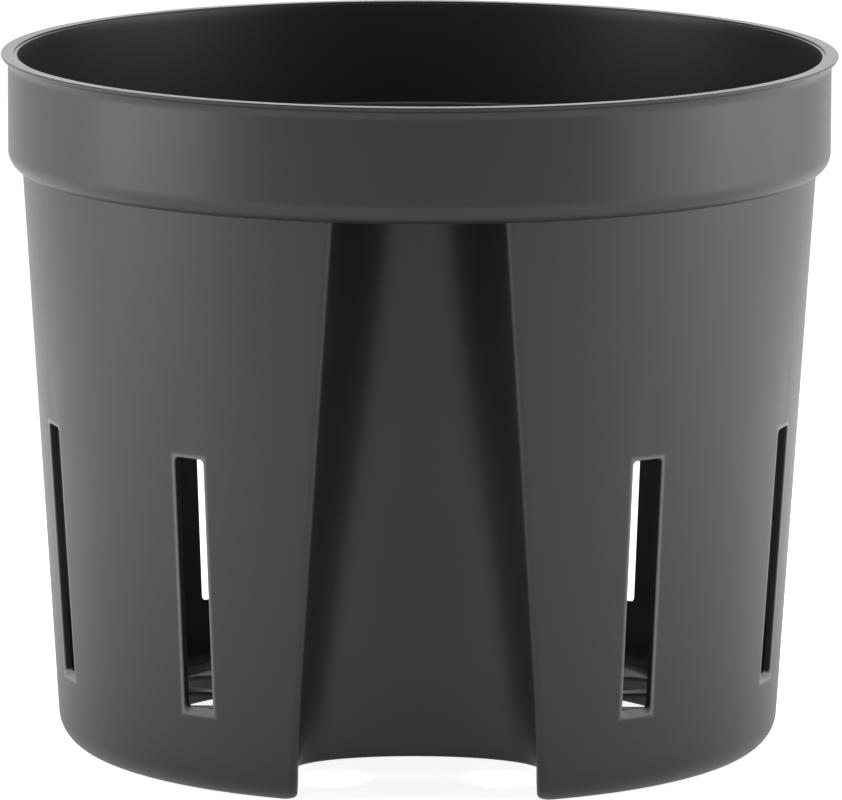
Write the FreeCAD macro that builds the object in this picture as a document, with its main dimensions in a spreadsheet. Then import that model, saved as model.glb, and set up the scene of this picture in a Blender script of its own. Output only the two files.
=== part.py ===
"""Slotted orchid pot: one thin plastic moulding, divided at its natural lines into named pieces."""
import FreeCAD, Part
import Sketcher
import math
import os

# Driving dimensions: lengths in millimetres, counts as plain numbers.
SIZES = {
    "total_height": 125.2,
    "lip_diameter": 150.0,
    "lip_face": 0.35,
    "lip_overhang": 1.25,
    "rim_width": 2.5,
    "rim_step_depth": 0.3,
    "rim_shoulder": 2.0,
    "collar_height": 20.7,
    "collar_wall": 1.7,
    "collar_overhang": 2.57,
    "collar_round": 3.8,
    "wall": 1.3,
    "wall_taper": 6.66,
    "foot_round": 6.0,
    "gutter_width": 6.7,
    "riser_taper": 0.6,
    "floor_height": 7.0,
    "floor_thickness": 0.8,
    "recess_bottom_width": 42.0,
    "recess_top_width": 29.6,
    "recess_bottom_depth": 13.3,
    "recess_top_depth": 20.6,
    "ceiling": 1.6,
    "slot_width": 6.15,
    "slot_bottom": 15.5,
    "slot_height": 45.4,
    "slot_bevel": 0.5,
    "slots_per_side": 4,
    "bar_seam": 1.2,
    "drain_length": 15.0,
    "drain_rib": 2.67,
    "drain_margin": 4.6,
    "drains_per_side": 7,
    "overrun": 2.0,
}

# Places that follow from the driving dimensions.
TOP = "sizes.total_height"
LIP_R = "(sizes.lip_diameter / 2)"
COLLAR_R = f"({LIP_R} - sizes.lip_overhang)"
CREASE = f"({TOP} - sizes.collar_height)"
CREASE_R = f"({COLLAR_R} - sizes.collar_overhang)"
BASE_R = f"({CREASE_R} - sizes.wall_taper)"
LEAN = f"(sizes.wall_taper / {CREASE})"
SLANT = f"sqrt(1 + {LEAN}^2)"
LEAN_ANGLE = f"atan({LEAN})"
CEILING_TOP = f"({CREASE} + sizes.ceiling)"
LIP_BOTTOM = f"({TOP} - sizes.lip_face - sizes.lip_overhang)"
ROUND_DROP = f"sqrt(sizes.collar_round^2 - (sizes.collar_round - sizes.collar_overhang)^2)"
ROUND_Z = f"({CREASE} + {ROUND_DROP})"
FOOT_CENTRE_R = f"({BASE_R} + {LEAN} * sizes.foot_round - sizes.foot_round * {SLANT})"
FLOOR_TOP = "sizes.floor_height"
FLOOR_UNDER = "(sizes.floor_height - sizes.floor_thickness)"
RISER_FOOT_R = f"({FOOT_CENTRE_R} - sizes.gutter_width)"
FLOOR_R = f"({RISER_FOOT_R} - sizes.riser_taper)"
UNDER_R = f"({FLOOR_R} - sizes.wall)"
UNDER_FOOT_R = f"({RISER_FOOT_R} - sizes.wall)"
SLOT_TOP = "(sizes.slot_bottom + sizes.slot_height)"
SLOT_MIDDLE = "(sizes.slot_bottom + sizes.slot_height / 2)"
BARS_BOTTOM = "(sizes.slot_bottom + sizes.bar_seam)"
BARS_TOP = f"({SLOT_TOP} - sizes.bar_seam)"
NOTCH_HALF = "(sizes.recess_bottom_width / 2)"
SLOT_PITCH = "(180 / (sizes.slots_per_side + 1))"
DRAIN_PITCH = "(180 / (sizes.drains_per_side + 1))"
DRAIN_END_R = f"({FLOOR_R} - sizes.drain_margin - sizes.drain_length)"
DRAIN_HALF_SINE = f"sin({DRAIN_PITCH} / 2)"
DRAIN_WIDTH = f"((2 * {DRAIN_HALF_SINE} * {DRAIN_END_R} - sizes.drain_rib) / (1 - {DRAIN_HALF_SINE}))"
DRAIN_INNER = f"({DRAIN_END_R} + {DRAIN_WIDTH} / 2)"
DRAIN_OUTER = f"({FLOOR_R} - sizes.drain_margin - {DRAIN_WIDTH} / 2)"
REACH = f"({LIP_R} + sizes.overrun)"


def make_sheet(doc):
    """Put every driving dimension in its own named cell."""
    sheet = doc.addObject("Spreadsheet::Sheet", "sizes")
    for row, (name, number) in enumerate(SIZES.items(), start=1):
        sheet.set(f"A{row}", name)
        sheet.set(f"B{row}", str(number))
        sheet.setAlias(f"B{row}", name)
    doc.recompute()


def value(doc, text):
    """Number that an expression on the sheet stands for."""
    return float(doc.sizes.evalExpression(text))


def bind(item, **texts):
    """Tie properties of an object to expressions on the sheet."""
    for name, text in texts.items():
        item.setExpression(name, text)


def place(item, across="0", along="0", up="0", yaw="0", roll="0"):
    """Tie the whole placement of an object to expressions on the sheet."""
    text = f"placement(vector({across}; {along}; {up}); rotation({yaw}; 0; {roll}))"
    item.setExpression("Placement", text)


def wall_radius(height):
    """Outer radius of the tapered wall at a height."""
    return f"({BASE_R} + {LEAN} * {height})"


def inner_wall_radius(height):
    """Inner radius of the tapered wall at a height."""
    return f"({wall_radius(height)} - sizes.wall * {SLANT})"


def tangent_on_wall(radius):
    """Point where a rounding about the foot's centre runs into the tapered wall."""
    across = f"({FOOT_CENTRE_R} + {radius} / {SLANT})"
    up = f"(sizes.foot_round - {radius} * {LEAN} / {SLANT})"
    return across, up


def origin_part(body, role):
    """One of the body's own origin planes or axes."""
    return next(item for item in body.Origin.OriginFeatures if item.Role == role)


def add_sketch(body, name, role):
    """Make an empty sketch on one of the body's origin planes."""
    sketch = body.newObject("Sketcher::SketchObject", name)
    sketch.AttachmentSupport = (origin_part(body, role), [""])
    sketch.MapMode = "FlatFace"
    return sketch


def sketch_arc(sketch, start, end, centre):
    """Add the shorter arc from start to end; return its index and its end numbers in that order."""
    begin = math.atan2(start.y - centre.y, start.x - centre.x)
    finish = math.atan2(end.y - centre.y, end.x - centre.x)
    turn = (finish - begin + math.pi) % (2 * math.pi) - math.pi
    circle = Part.Circle(centre, FreeCAD.Vector(0, 0, 1), centre.distanceToPoint(start))
    if turn > 0:
        return sketch.addGeometry(Part.ArcOfCircle(circle, begin, finish)), 1, 2
    return sketch.addGeometry(Part.ArcOfCircle(circle, finish, begin)), 2, 1


def fix_point(sketch, item, end, across, up):
    """Hold one end of a sketched edge at the place that two expressions give."""
    for kind, axis, text in (("DistanceX", -2, across), ("DistanceY", -1, up)):
        if text == "0":
            sketch.addConstraint(Sketcher.Constraint("PointOnObject", item, end, axis))
            continue
        number = value(sketch.Document, text)
        index = sketch.addConstraint(Sketcher.Constraint(kind, -1, 1, item, end, number))
        sketch.setExpression(f"Constraints[{index}]", text)


def draw_outline(sketch, outline):
    """Draw a closed outline of (across, up, arc) points; arc is (across, up, radius) of the edge."""
    doc = sketch.Document
    points = [FreeCAD.Vector(value(doc, a), value(doc, b), 0) for a, b, arc in outline]
    ends = []
    for index, (across, up, arc) in enumerate(outline):
        start, end = points[index], points[(index + 1) % len(points)]
        if arc is None:
            edge, first, last = sketch.addGeometry(Part.LineSegment(start, end)), 1, 2
        else:
            centre = FreeCAD.Vector(value(doc, arc[0]), value(doc, arc[1]), 0)
            edge, first, last = sketch_arc(sketch, start, end, centre)
            radius = Sketcher.Constraint("Radius", edge, centre.distanceToPoint(start))
            sketch.setExpression(f"Constraints[{sketch.addConstraint(radius)}]", arc[2])
        fix_point(sketch, edge, first, across, up)
        ends.append((edge, first, last))
    for index, (edge, first, last) in enumerate(ends):
        following, start, end = ends[(index + 1) % len(ends)]
        sketch.addConstraint(Sketcher.Constraint("Coincident", edge, last, following, start))


def make_turned(doc, name, outline):
    """Body of revolution of an outline about the pot's axis."""
    body = doc.addObject("PartDesign::Body", name)
    sketch = add_sketch(body, f"{name}_outline", "XZ_Plane")
    draw_outline(sketch, outline)
    turned = body.newObject("PartDesign::Revolution", f"{name}_turned")
    turned.Profile = sketch
    turned.ReferenceAxis = (sketch, ["V_Axis"])
    turned.Angle = 360
    return body


def foot_and_wall():
    """Outer points of the pot from the standing ring up to the crease under the collar."""
    wall_start = tangent_on_wall("sizes.foot_round")
    return [
        (FOOT_CENTRE_R, "0", (FOOT_CENTRE_R, "sizes.foot_round", "sizes.foot_round")),
        (*wall_start, None),
    ]


def shell_outline():
    """Half section of the whole moulding, before recesses, slots and drainage openings."""
    inner_round = "(sizes.foot_round - sizes.wall)"
    inner_start = tangent_on_wall(inner_round)
    collar_inside = f"({COLLAR_R} - sizes.collar_wall)"
    rim_inside = f"({LIP_R} - sizes.rim_width)"
    rim_shelf = f"({TOP} - sizes.rim_step_depth)"
    round_arc = (f"({COLLAR_R} - sizes.collar_round)", ROUND_Z, "sizes.collar_round")
    cove_arc = (LIP_R, LIP_BOTTOM, "sizes.lip_overhang")
    return foot_and_wall() + [
        (CREASE_R, CREASE, round_arc),
        (COLLAR_R, ROUND_Z, None),
        (COLLAR_R, LIP_BOTTOM, cove_arc),
        (LIP_R, f"({TOP} - sizes.lip_face)", None),
        (LIP_R, TOP, None),
        (rim_inside, TOP, None),
        (rim_inside, rim_shelf, None),
        (f"({rim_inside} - sizes.rim_step_depth)", rim_shelf, None),
        (collar_inside, f"({TOP} - sizes.rim_shoulder)", None),
        (collar_inside, CEILING_TOP, None),
        (inner_wall_radius(CEILING_TOP), CEILING_TOP, None),
        (*inner_start, (FOOT_CENTRE_R, "sizes.foot_round", inner_round)),
        (FOOT_CENTRE_R, "sizes.wall", None),
        (RISER_FOOT_R, "sizes.wall", None),
        (FLOOR_R, FLOOR_TOP, None),
        ("0", FLOOR_TOP, None),
        ("0", FLOOR_UNDER, None),
        (UNDER_R, FLOOR_UNDER, None),
        (UNDER_FOOT_R, "0", None),
    ]


def envelope_outline():
    """Half section of the space inside the outer face of the foot and the tapered wall."""
    return foot_and_wall() + [
        (wall_radius(CEILING_TOP), CEILING_TOP, None),
        ("0", CEILING_TOP, None),
        ("0", "0", None),
    ]


def oval_section(doc, facing, growth, level, height):
    """Oval across the wall: half the recess's width each way, and the recess's depth inwards."""
    half_width = value(doc, f"sizes.recess_{level}_width / 2")
    depth = value(doc, f"sizes.recess_{level}_depth")
    centre = math.sqrt(value(doc, wall_radius(height)) ** 2 - half_width ** 2)
    stretch = FreeCAD.Matrix()
    stretch.scale(half_width + growth, depth + growth, 1)
    stretch.move(FreeCAD.Vector(0, facing * centre, value(doc, height)))
    circle = Part.Wire(Part.makeCircle(1))
    return circle.transformGeometry(stretch)


def make_recess_prism(doc, name, facing, growth, top):
    """Oval prism that narrows and deepens upwards, from the floor up to a height."""
    lower = oval_section(doc, facing, growth, "bottom", FLOOR_UNDER)
    upper = oval_section(doc, facing, growth, "top", CREASE)
    sections = [lower, upper]
    extra = value(doc, f"{top} - {CREASE}")
    if extra > 0:
        raised = upper.copy()
        raised.translate(FreeCAD.Vector(0, 0, extra))
        sections.append(raised)
    prism = doc.addObject("Part::Feature", name)
    prism.Shape = Part.makeLoft(sections, True, True)
    prism.Placement = FreeCAD.Placement()
    return prism


def combine(doc, kind, name, items):
    """Union or common of several objects."""
    result = doc.addObject(kind, name)
    result.Shapes = items
    return result


def subtract(doc, name, base, tool):
    """First object less the second."""
    result = doc.addObject("Part::Cut", name)
    result.Base = base
    result.Tool = tool
    return result


def make_slab(doc, name, half_width, bottom, top):
    """Box right across the pot, centred on its axis."""
    slab = doc.addObject("Part::Box", name)
    bind(slab, Length=f"2 * {half_width}", Width=f"2 * {REACH}", Height=f"{top} - {bottom}")
    place(slab, across=f"0 - {half_width}", along=f"0 - {REACH}", up=bottom)
    return slab


def make_zone(doc, name, bottom, top, start="0", sweep="360"):
    """Slice between two heights, or the sector of it from one azimuth on; azimuth 0 is the front."""
    zone = doc.addObject("Part::Cylinder", name)
    bind(zone, Radius=REACH, Height=f"{top} - {bottom}", Angle=sweep)
    place(zone, up=bottom, yaw=f"{start} - 90")
    return zone


def make_slot_cutter(doc, side, number):
    """Straight slot through the wall with a bevelled mouth, square to the tapered face."""
    name = f"slot_{side}_{number}"
    azimuth = f"({number} * {SLOT_PITCH})"
    if side == "left":
        azimuth = f"(0 - {azimuth})"
    half_width, half_height = "sizes.slot_width / 2", f"sizes.slot_height / 2 * {SLANT}"
    outer = f"{half_width} + sizes.slot_bevel + sizes.overrun"
    upper = f"{half_height} + sizes.slot_bevel + sizes.overrun"
    opening = doc.addObject("Part::Wedge", f"{name}_opening")
    mouth = doc.addObject("Part::Wedge", f"{name}_mouth")
    through = f"0 - sizes.overrun", "sizes.wall + sizes.overrun"
    flared = f"0 - sizes.overrun", "sizes.slot_bevel"
    for piece, (front, back), wide, tall in ((opening, through, half_width, half_height),
                                             (mouth, flared, outer, upper)):
        bind(piece, Ymin=front, Ymax=back, Xmax=wide, Xmin=f"0 - ({wide})",
             Zmax=tall, Zmin=f"0 - ({tall})", X2max=half_width, X2min=f"0 - ({half_width})",
             Z2max=half_height, Z2min=f"0 - ({half_height})")
        place(piece, across=f"{wall_radius(SLOT_MIDDLE)} * sin({azimuth})",
              along=f"0 - {wall_radius(SLOT_MIDDLE)} * cos({azimuth})",
              up=SLOT_MIDDLE, yaw=azimuth, roll=LEAN_ANGLE)
    return [opening, mouth]


def make_drains(doc, side, start):
    """Rounded drainage openings in the floor on one side, from one azimuth round in equal steps."""
    name = f"drains_{side}"
    body = doc.addObject("PartDesign::Body", name)
    place(body, up=FLOOR_UNDER, yaw=start)
    sketch = add_sketch(body, f"{name}_outline", "XY_Plane")
    half = f"({DRAIN_WIDTH} / 2)"
    outer, inner = f"(0 - {DRAIN_OUTER})", f"(0 - {DRAIN_INNER})"
    draw_outline(sketch, [
        (half, inner, None),
        (half, outer, ("0", outer, half)),
        ("0", f"({outer} - {half})", ("0", outer, half)),
        (f"(0 - {half})", outer, None),
        (f"(0 - {half})", inner, ("0", inner, half)),
        ("0", f"({inner} + {half})", ("0", inner, half)),
    ])
    opening = body.newObject("PartDesign::Pad", f"{name}_pad")
    opening.Profile = sketch
    opening.Midplane = True
    bind(opening, Length="2 * (sizes.floor_thickness + sizes.overrun)")
    doc.recompute()
    pattern = body.newObject("PartDesign::PolarPattern", f"{name}_pattern")
    pattern.Originals = [opening]
    pattern.Axis = (origin_part(body, "Z_Axis"), [""])
    bind(pattern, Occurrences="sizes.drains_per_side",
         Angle=f"{DRAIN_PITCH} * (sizes.drains_per_side - 1)")
    body.Tip = pattern
    return body


def make_recess_zones(doc, envelope):
    """Space that each recess takes with its walls and ceiling, inside the pot's outer face."""
    zones = []
    for name, facing in (("front", -1), ("rear", 1)):
        block = make_recess_prism(doc, f"{name}_block", facing, value(doc, "sizes.wall"), CEILING_TOP)
        zones.append(combine(doc, "Part::MultiCommon", f"{name}_zone", [envelope, block]))
    return zones


def make_gutter_fill(doc, envelope):
    """Solid across the gutter at both recesses, from which the closed gutter ends are left."""
    across = make_slab(doc, "gutter_span", f"({NOTCH_HALF} + sizes.wall)", "0", FLOOR_TOP)
    span = combine(doc, "Part::MultiCommon", "gutter_blocks", [envelope, across])
    under = doc.addObject("Part::Cone", "under_floor")
    bind(under, Radius1=UNDER_FOOT_R, Radius2=UNDER_R, Height=FLOOR_UNDER)
    return subtract(doc, "gutter_fill", span, under)


def make_cutters(doc):
    """Everything that is open: recess channels, foot notches, wall slots and drainage openings."""
    cutters = [
        make_recess_prism(doc, "front_channel", -1, 0, CREASE),
        make_recess_prism(doc, "rear_channel", 1, 0, CREASE),
        make_slab(doc, "foot_notch", NOTCH_HALF, "(0 - sizes.overrun)", FLOOR_UNDER),
        make_drains(doc, "right", DRAIN_PITCH),
        make_drains(doc, "left", f"(180 + {DRAIN_PITCH})"),
    ]
    for side in ("left", "right"):
        for number in range(1, SIZES["slots_per_side"] + 1):
            cutters += make_slot_cutter(doc, side, number)
    return combine(doc, "Part::MultiFuse", "cutters", cutters)


def make_moulding(doc, envelope, zones):
    """The whole pot as it comes out of its mould."""
    shell = make_turned(doc, "shell", shell_outline())
    fill = make_gutter_fill(doc, envelope)
    plain = combine(doc, "Part::MultiFuse", "plain_moulding", [shell, fill] + zones)
    return subtract(doc, "moulding", plain, make_cutters(doc))


def half_start(side):
    """Azimuth at which the half of the pot on one side starts."""
    return "0" if side == "right" else "180"


def make_bar(doc, walls, side, number):
    """Bar of wall beside a slot, numbered from the front."""
    start = f"({number - 1} * {SLOT_PITCH})" if side == "right" else f"(0 - {number} * {SLOT_PITCH})"
    name = f"slot_bar_{side}_{number}"
    zone = make_zone(doc, f"{name}_zone", BARS_BOTTOM, BARS_TOP, start, SLOT_PITCH)
    return combine(doc, "Part::MultiCommon", name, [walls, zone])


def make_side(doc, walls, floor_zone, side):
    """Upper wall, slot bars, lower wall and foot on one side of the recesses."""
    start = half_start(side)
    upper = make_zone(doc, f"upper_zone_{side}", BARS_TOP, CREASE, start, "180")
    lower = make_zone(doc, f"lower_zone_{side}", FLOOR_TOP, BARS_BOTTOM, start, "180")
    below = make_zone(doc, f"below_zone_{side}", "0", FLOOR_TOP, start, "180")
    foot_zone = subtract(doc, f"foot_zone_{side}", below, floor_zone)
    bars = [make_bar(doc, walls, side, number) for number in range(1, SIZES["slots_per_side"] + 2)]
    return bars + [
        combine(doc, "Part::MultiCommon", f"upper_wall_{side}", [walls, upper]),
        combine(doc, "Part::MultiCommon", f"lower_wall_{side}", [walls, lower]),
        combine(doc, "Part::MultiCommon", f"foot_{side}", [walls, foot_zone]),
    ]


def make_floor_zone(doc):
    """Space of the raised floor: inside the riser, and out over both foot notches."""
    disc = doc.addObject("Part::Cylinder", "floor_disc")
    bind(disc, Radius=UNDER_R, Height=FLOOR_TOP)
    notch_cover = make_slab(doc, "notch_cover", NOTCH_HALF, "0", FLOOR_TOP)
    return combine(doc, "Part::MultiFuse", "floor_zone", [disc, notch_cover])


def make_nodes(doc):
    """Divide the moulding into its named pieces, which fill it exactly once."""
    envelope = make_turned(doc, "envelope", envelope_outline())
    zones = make_recess_zones(doc, envelope)
    moulding = make_moulding(doc, envelope, zones)
    walls = subtract(doc, "walls", moulding, combine(doc, "Part::MultiFuse", "both_zones", zones))
    floor_zone = make_floor_zone(doc)
    lip_zone = make_zone(doc, "lip_zone", LIP_BOTTOM, TOP)
    collar_zone = make_zone(doc, "collar_zone", CREASE, LIP_BOTTOM)
    nodes = [
        combine(doc, "Part::MultiCommon", "rim_lip", [walls, lip_zone]),
        combine(doc, "Part::MultiCommon", "collar", [walls, collar_zone]),
        combine(doc, "Part::MultiCommon", "floor_plate", [walls, floor_zone]),
        combine(doc, "Part::MultiCommon", "front_recess", [moulding, zones[0]]),
        combine(doc, "Part::MultiCommon", "rear_recess", [moulding, zones[1]]),
    ]
    for side in ("left", "right"):
        nodes += make_side(doc, walls, floor_zone, side)
    return nodes, moulding


def check(doc, nodes, moulding):
    """Stop on a failed object, a bad solid or pieces that don't add up to the moulding."""
    failed = [item.Name for item in doc.Objects if {"Invalid", "Error"} & set(item.State)]
    if failed:
        raise RuntimeError(f"failed objects: {failed}")
    for node in nodes:
        if node.Shape.isNull() or not node.Shape.isValid() or not node.Shape.Solids:
            raise RuntimeError(f"bad shape: {node.Label}")
    total = sum(node.Shape.Volume for node in nodes)
    print(f"moulding {moulding.Shape.Volume:.1f} cubic mm, its pieces {total:.1f}")


def main():
    """Build the document, check it and write one file for each piece."""
    doc = FreeCAD.newDocument("orchid_pot")
    make_sheet(doc)
    nodes, moulding = make_nodes(doc)
    doc.recompute()
    check(doc, nodes, moulding)
    os.makedirs("parts", exist_ok=True)
    for node in nodes:
        node.Shape.exportStep(f"parts/{node.Label}.step")
        print(f"{node.Label}: {len(node.Shape.Solids)} solid, {node.Shape.Volume:.1f} cubic mm")


main()
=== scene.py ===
"""Looks of a slotted orchid pot: thin grey plastic with a collar, deep recesses and tall slots."""
import math

import bmesh
import bpy
from mathutils import Matrix, Vector


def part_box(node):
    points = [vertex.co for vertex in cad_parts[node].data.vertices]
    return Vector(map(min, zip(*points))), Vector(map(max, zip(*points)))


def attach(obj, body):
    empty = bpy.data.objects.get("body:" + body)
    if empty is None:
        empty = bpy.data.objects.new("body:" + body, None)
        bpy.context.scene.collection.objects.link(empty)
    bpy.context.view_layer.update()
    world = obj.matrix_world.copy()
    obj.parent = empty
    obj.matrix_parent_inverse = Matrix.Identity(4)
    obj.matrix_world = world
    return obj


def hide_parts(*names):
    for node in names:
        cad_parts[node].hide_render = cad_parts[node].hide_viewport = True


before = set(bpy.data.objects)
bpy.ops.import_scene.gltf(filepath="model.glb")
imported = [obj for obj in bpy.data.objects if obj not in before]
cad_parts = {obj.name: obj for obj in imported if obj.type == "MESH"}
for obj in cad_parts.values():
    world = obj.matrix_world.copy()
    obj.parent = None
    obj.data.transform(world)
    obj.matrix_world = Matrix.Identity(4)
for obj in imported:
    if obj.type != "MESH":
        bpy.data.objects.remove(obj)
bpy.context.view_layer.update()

bl_info = {
    "name": "Orchid Pot",
    "version": (1, 0, 0),
    "blender": (4, 5, 0),
    "location": "3D View > Sidebar > Orchid Pot",
    "description": "Builds a slotted orchid pot around its measured frame",
    "category": "Add Mesh",
}

MM = 0.001
PLASTIC = "satin_plastic"
SIDES = (("left", -1), ("right", 1))
SAME_POINT = 1e-7
SHARP_ANGLE = 32

# Heights and half widths that the frame gives.
LIP_LOW, LIP_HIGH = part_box("rim_lip")
RECESS_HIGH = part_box("front_recess")[1]
TOP, LIP_RADIUS = LIP_HIGH.z, min(*LIP_HIGH.xy, *-LIP_LOW.xy)
CREASE, CEILING_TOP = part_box("upper_wall_right")[1].z, RECESS_HIGH.z
BARS_BOTTOM, BARS_TOP = (corner.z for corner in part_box("slot_bar_right_3"))
FLOOR_UNDER, FLOOR_TOP = (corner.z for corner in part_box("floor_plate"))

# Decimal places of a tidied height, and of the azimuth and height that tell a panel's corners apart.
TIDY_PLACES, AZIMUTH_PLACES, HEIGHT_PLACES = 7, 7, 8

# Steps of the lip's cove and edge, of the collar's bend, of a foot's corners and of small roundings.
COVE_STEPS, BEND_STEPS, CORNER_STEPS, ROUND_STEPS, SMALL_STEPS = 10, 14, 8, 5, 4

# Degrees where the lip's cove ends, its outer edge starts and the foot's outer rounding starts.
COVE_END, LIP_START, FOOT_START = 100, -35, 4

# Rows up the collar's outside and its inside, and roundings from the rim's inner edge to its flat.
COLLAR_ROWS, LEDGE_ROWS, EDGE_RUN = 6, 4, 3

# Rings of quads from a slot's rounded mouth out to the plain wall.
RING_SHARES = (0.1, 0.2, 0.35, 0.6, 1.0)
MOUTH_STEPS, END_STEPS = 6, 4

# Quads between two slots, and rows beside the slots, over their hollows, above these and below.
PANEL_PARTS, BAR_ROWS, HOLLOW_ROWS, HIGH_ROWS, LOW_ROWS = 26, 16, 14, 9, 3

# How a soft hollow starts above its slot and ends further up: shares of its length, and strengths.
SINK_FADE_IN, SINK_FADE_OUT = (0.0, 0.12, 0.0, 1.0), (0.1, 1.0, 1.0, 0.0)

# Steps of a recess's back, of its rounded edge and of the plain wall beside it, and its rows.
BACK_STEPS, FILLET_STEPS, PLAIN_STEPS, RECESS_ROWS = 30, 12, 3, 44

# Degrees over which a recess's lower rounding fades out at its sides.
ROUND_FADE = 15

# Steps of a foot's long arcs, of its outside and its gutter, and of the floor's round sides.
FOOT_STEPS, OUTSIDE_STEPS, GUTTER_STEPS, FLOOR_STEPS = 200, 16, 12, 160

# Finish: clouds and grain to the metre, their levels of detail, the grain's depth, and the plastic.
CLOUD_SCALE, GRAIN_SCALE, CLOUD_DETAIL, GRAIN_DETAIL = 38.0, 2600.0, 3, 2
GRAIN_DEPTH, REFRACTION = 0.05 * MM, 1.5

# Floor: a drain's corner roundings just don't meet.
NEARLY_HALF, DRAIN_CORNER_STEPS = 0.4999, 12

# Stage: lengths in metres, the sensor in millimetres, and ramps from two values to two others.
GROUND_HALF, GROUND_LEVEL, GROUND_WHITE = 4.0, -0.02 * MM, 0.9
SIDE_LAMP, TOP_LAMP = (0.40, 0.44), (0.5, 0.5)
SENSOR_WIDTH, FAR_CLIP = 36, 20
# Ground's glow in reflections by distance from the axis: dimmer near the pot, a painted shade in place of
# its contact shadow.
MIRROR_SHADE_RAMP = (0.08, 0.32, 0.42, 0.9)
SKY_ALONG, SKY_UP = (0.62, 1.0, 0.02, 2.0), (0.3, 0.85, 1.0, 0.2)


def length(label, text, millimetres):
    """Property for one length, given in millimetres."""
    return bpy.props.FloatProperty(name=label, description=text, default=millimetres * MM,
                                   unit="LENGTH", subtype="DISTANCE", precision=5)


def count(label, text, default):
    """Property for one whole number."""
    return bpy.props.IntProperty(name=label, description=text, default=default, min=1)


def share(label, text, default):
    """Property for one number between 0 and 1."""
    return bpy.props.FloatProperty(name=label, description=text, default=default, min=0, max=1,
                                   subtype="FACTOR")


def colour(label, text, default):
    """Property for one linear colour."""
    return bpy.props.FloatVectorProperty(name=label, description=text, default=default,
                                         subtype="COLOR", size=3, min=0, max=1)


def angle_of(label, text, degrees):
    """Property for one angle."""
    return bpy.props.FloatProperty(name=label, description=text, default=math.radians(degrees),
                                   subtype="ANGLE")


def power(label, text, watts):
    """Property for the power of one lamp."""
    return bpy.props.FloatProperty(name=label, description=text, default=watts, unit="POWER")


class PotSizes(bpy.types.PropertyGroup):
    """Sizes of the moulding that its frame doesn't give."""
    lip_overhang: length("Lip Overhang", "How far the lip stands out from the collar", 1.25)
    lip_face: length("Lip Face", "Height of the lip's outer face down to its cove", 0.6)
    lip_round: length("Lip Rounding", "Rounding of the lip's upper outer edge", 0.2)
    cove_height: length("Cove Height", "Height of the cove under the lip", 1.8)
    rim_edge: length("Rim Edge", "Rounding of the rim's inner edges", 0.14)
    rim_width: length("Rim Width", "Width of the flat rim with its outer rounding", 2.3)
    rim_step: length("Rim Step", "Depth of the small step inside the rim", 0.28)
    step_width: length("Step Width", "Width of the small step inside the rim", 0.6)
    rim_shoulder: length("Rim Shoulder", "Depth of the faint shoulder inside the rim", 2.0)
    collar_wall: length("Collar Wall", "Thickness of the collar", 1.7)
    collar_overhang: length("Collar Overhang", "How far the collar stands out from the wall", 2.57)
    collar_round: length("Collar Rounding", "Rounding of the collar's lower edge", 3.5)
    ledge_round: length("Ledge Rounding", "Rounding of the ledge inside the collar", 0.5)
    shelf_round: length("Shelf Rounding", "Rounding of the shelf's edge over a recess", 1.0)
    seam_margin: length("Seam Margin", "Straight run kept beside a seam between pieces", 0.3)
    wall: length("Wall", "Thickness of the wall", 1.3)
    wall_taper: length("Wall Taper", "Radius that the wall loses from crease to ground", 6.66)
    foot_round: length("Foot Rounding", "Rounding of the foot's outer corner", 6.0)
    foot_end_round: length("Foot End Rounding", "Rounding under each end of the foot", 1.8)
    foot_corner: length("Foot Corner", "Small roundings of the foot and of its gutter", 0.5)
    gutter_width: length("Gutter Width", "Flat width of the gutter inside the foot", 6.7)
    riser_taper: length("Riser Taper", "How far the riser leans from the gutter to the floor", 0.6)
    recess_top_half: length("Recess Top", "Half width of a recess under the collar", 14.8)
    recess_top_back: length("Recess Back", "Distance from the axis to a recess's back at the top", 49.02)
    recess_round: length("Recess Rounding", "Rounding of a recess's long edges", 1.2)
    recess_inner_round: length("Inner Rounding", "Fillet inside the pot beside a recess", 1.0)
    slot_width: length("Slot Width", "Clear width of a slot", 6.15)
    slot_overlap: length("Slot Overlap", "How far a slot runs past the ends of its bars", 1.0)
    slot_corner: length("Slot Corner", "Corner radius of a slot's opening", 0.8)
    slot_round: length("Slot Rounding", "Rounding of a slot's mouth", 0.3)
    slot_sill: length("Slot Sill", "Height and depth of the slope at a slot's lower end", 1.0)
    # Width of the pale band round each slot's mouth and sill: a painted highlight standing in for glints on
    # the slot edges.
    slot_highlight: length("Slot Highlight", "Width of the rubbed edge round a slot", 0.55)
    slot_margin: length("Slot Margin", "Half width of the ground kept fine about a slot", 6.0)
    slot_ground: length("Slot Ground", "Height of the ground kept fine beyond each end of a slot", 4.0)
    sink_depth: length("Sink Depth", "Depth of the soft hollow above each slot", 0.09)
    sink_length: length("Sink Length", "Height of the soft hollow above each slot", 20.0)
    sink_width: length("Sink Width", "Half width of the soft hollow above each slot", 2.6)
    drain_length: length("Drain Length", "Length of a drainage opening", 15.0)
    drain_width: length("Drain Width", "Width of a drainage opening", 12.2)
    drain_margin: length("Drain Margin", "Floor outside the drainage openings", 4.6)
    drain_edge: length("Drain Edge", "Rounding of the floor's edges", 0.22)
    slots_per_side: count("Slots", "Slots on each side of the recesses", 4)
    drains_per_side: count("Drains", "Drainage openings on each side", 7)


class PotFinish(bpy.types.PropertyGroup):
    """Colour and surface of the plastic, with the colour of the painted highlight on the slot edges."""
    tint: colour("Plastic", "Colour of the plastic", (0.029, 0.029, 0.0295))
    tint_pale: colour("Pale Plastic", "Colour of its paler clouds", (0.034, 0.034, 0.0345))
    roughness: share("Roughness", "Roughness of the satin face", 0.33)
    rough_change: share("Roughness Change", "How much the roughness varies", 0.07)
    grain: share("Grain", "Strength of the fine moulded grain", 0.1)
    # Pale colour of that band: a painted highlight on the slot edges, not the plastic's own colour.
    tint_highlight: colour("Highlight Tint", "Colour of its rubbed edges", (0.22, 0.22, 0.221))


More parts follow.
